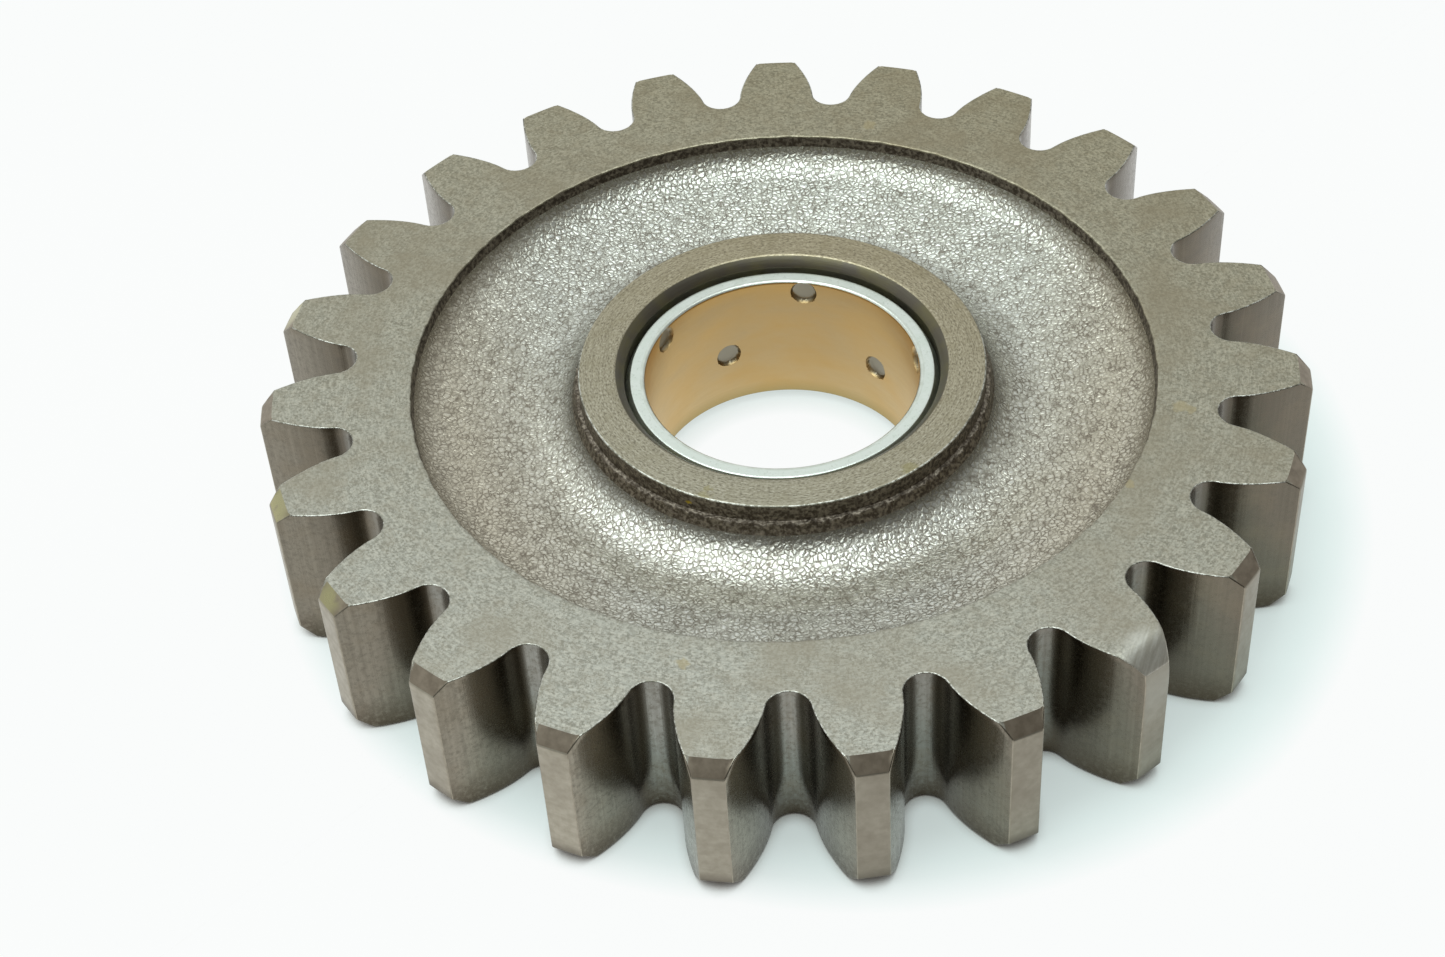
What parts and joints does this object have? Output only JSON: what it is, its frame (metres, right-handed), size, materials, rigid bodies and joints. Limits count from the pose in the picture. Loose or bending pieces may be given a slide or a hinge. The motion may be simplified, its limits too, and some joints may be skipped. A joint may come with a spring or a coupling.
{
  "type": "spur drive gear with bush",
  "caption": "Spur drive gear with a dished forged web, a turned hub and a pressed-in steel-backed bronze bush, to turn freely on a shaft.",
  "frame": {"origin": "on the bore axis, half way through the face width", "axes": "+Z along the bore axis; the middle of one tooth lies on +Y; both faces are alike"},
  "size_m": [0.076, 0.0758, 0.0128],
  "materials": {
    "gear_steel": "bare steel: fine ground faces, hobbed tooth flanks, shot-blasted forged web, turned hub ends",
    "bush_steel": "thin bright tin flash over steel",
    "bearing_bronze": "smooth worn bronze with small round oil pockets"
  },
  "bodies": {
    "root": {"gear_body": "gear_steel", "bush_shell": "bush_steel", "bush_lining": "bearing_bronze"}
  },
  "joints": []
}
